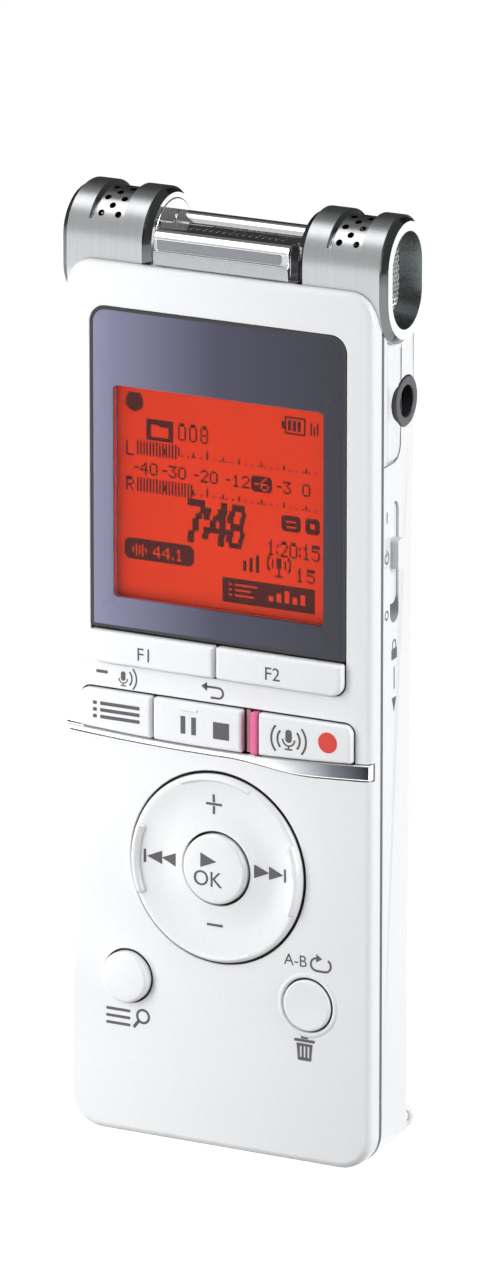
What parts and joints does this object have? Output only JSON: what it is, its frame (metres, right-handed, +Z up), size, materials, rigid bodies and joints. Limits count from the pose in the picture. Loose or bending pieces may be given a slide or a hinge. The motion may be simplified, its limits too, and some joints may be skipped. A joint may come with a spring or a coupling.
{
  "type": "portable field recorder",
  "caption": "Slim upright pocket audio recorder with twin end-firing microphone barrels, a backlit display, push keys, a four-way ring, a side slide switch and jack sockets.",
  "frame": {"origin": "bottom centre of the bounding box, on the flat bottom end", "axes": "+Z up along the body, -Y out of the front with the display and keys, +X to the right seen from the front"},
  "size_m": [0.0422, 0.0158, 0.1114],
  "materials": {
    "white_plastic": "glossy white moulded plastic",
    "side_panel": "glossy pale grey moulded plastic",
    "display_black": "glossy slate violet printed window",
    "clear_lens": "clear hard-coated window",
    "lcd_face": "orange-red backlit liquid crystal panel",
    "light_guide": "frosted light guide",
    "chrome_trim": "bright plating",
    "pipe_red": "red translucent light pipe",
    "strip_pink": "pink translucent strip",
    "circuit_board": "green solder mask",
    "contact_metal": "plated spring steel",
    "flat_cable": "amber flexible circuit",
    "inner_black": "black moulded plastic",
    "collar_grey": "dark grey moulded collar",
    "brushed_metal": "satin, brushed round the barrel",
    "polished_cap": "polished",
    "mic_mesh": "fine perforated steel",
    "mic_rubber": "soft black rubber",
    "capsule_metal": "drawn can",
    "battery_sleeve": "printed sleeve"
  },
  "bodies": {
    "case": {"front_cover": "white_plastic", "rear_housing": "white_plastic", "display_frame": "display_black", "display_lens": "clear_lens", "lcd_panel": "lcd_face", "lcd_backlight": "light_guide", "lcd_holder": "inner_black", "chrome_trim": "chrome_trim", "record_light_pipe": "pipe_red", "main_board": "circuit_board", "key_board": "circuit_board", "key_switches": "contact_metal", "board_ribbon": "flat_cable", "left_side_insert": "side_panel", "right_side_insert": "side_panel", "mic_jack_collar": "collar_grey", "mic_jack_body": "inner_black", "earphone_jack_collar": "collar_grey", "earphone_jack_body": "inner_black", "left_mic_barrel": "brushed_metal", "right_mic_barrel": "brushed_metal", "left_mic_mesh": "mic_mesh", "right_mic_mesh": "mic_mesh", "left_mic_holder": "mic_rubber", "right_mic_holder": "mic_rubber", "left_mic_capsule": "capsule_metal", "right_mic_capsule": "capsule_metal", "left_barrel_cap": "polished_cap", "right_barrel_cap": "polished_cap", "centre_mic_bar": "brushed_metal", "centre_mic_capsule": "capsule_metal", "rear_rail": "chrome_trim", "mic_ribbon": "flat_cable", "speaker": "inner_black", "battery_cell": "battery_sleeve", "battery_spring": "contact_metal", "battery_plate": "contact_metal", "case_screws": "contact_metal", "strap_staple": "contact_metal", "power_switch_body": "inner_black"},
    "f1_key": {"f1_key": "white_plastic"},
    "f2_key": {"f2_key": "white_plastic"},
    "menu_key": {"menu_key": "white_plastic"},
    "stop_key": {"stop_key": "white_plastic"},
    "record_key": {"record_key": "white_plastic", "record_key_strip": "strip_pink"},
    "ring_rocker": {"ring_rocker": "contact_metal"},
    "cursor_ring": {"cursor_ring": "white_plastic"},
    "ok_button": {"ok_button": "white_plastic"},
    "list_button": {"list_button": "white_plastic"},
    "erase_button": {"erase_button": "white_plastic"},
    "power_slider": {"power_slider": "white_plastic"},
    "battery_door": {"battery_door": "white_plastic"},
    "usb": {"usb_plug": "contact_metal", "usb_carriage": "inner_black"}
  },
  "joints": [
    {"name": "f1_press", "type": "slide", "parent": "case", "child": "f1_key", "axis": [0, 1, 0], "range_m": [0, 0.0003], "stiffness_N_per_m": 600},
    {"name": "f2_press", "type": "slide", "parent": "case", "child": "f2_key", "axis": [0, 1, 0], "range_m": [0, 0.0003], "stiffness_N_per_m": 600},
    {"name": "menu_press", "type": "slide", "parent": "case", "child": "menu_key", "axis": [0, 1, 0], "range_m": [0, 0.0003], "stiffness_N_per_m": 600},
    {"name": "stop_press", "type": "slide", "parent": "case", "child": "stop_key", "axis": [0, 1, 0], "range_m": [0, 0.0003], "stiffness_N_per_m": 600},
    {"name": "record_press", "type": "slide", "parent": "case", "child": "record_key", "axis": [0, 1, 0], "range_m": [0, 0.0003], "stiffness_N_per_m": 600},
    {"name": "ok_press", "type": "slide", "parent": "case", "child": "ok_button", "axis": [0, 1, 0], "range_m": [0, 0.0003], "stiffness_N_per_m": 600},
    {"name": "list_press", "type": "slide", "parent": "case", "child": "list_button", "axis": [0, 1, 0], "range_m": [0, 0.0003], "stiffness_N_per_m": 600},
    {"name": "erase_press", "type": "slide", "parent": "case", "child": "erase_button", "axis": [0, 1, 0], "range_m": [0, 0.0003], "stiffness_N_per_m": 600},
    {"name": "ring_tilt_up_down", "type": "hinge", "parent": "case", "child": "ring_rocker", "pos_m": [0, -0.0049, 0.0338], "axis": [1, 0, 0], "range_deg": [-1.5, 1.5], "stiffness_Nm_per_rad": 0.05},
    {"name": "ring_tilt_left_right", "type": "hinge", "parent": "ring_rocker", "child": "cursor_ring", "pos_m": [0, -0.00553, 0.0338], "axis": [0, 0, 1], "range_deg": [-1.5, 1.5], "stiffness_Nm_per_rad": 0.05},
    {"name": "power_slide", "type": "slide", "parent": "case", "child": "power_slider", "axis": [0, 0, 1], "range_m": [-0.002, 0]},
    {"name": "battery_door_slide", "type": "slide", "parent": "case", "child": "battery_door", "axis": [0, 0, -1], "range_m": [0, 0.0028]},
    {"name": "usb_slide", "type": "slide", "parent": "case", "child": "usb", "axis": [0, 0, -1], "range_m": [0, 0.015]}
  ]
}
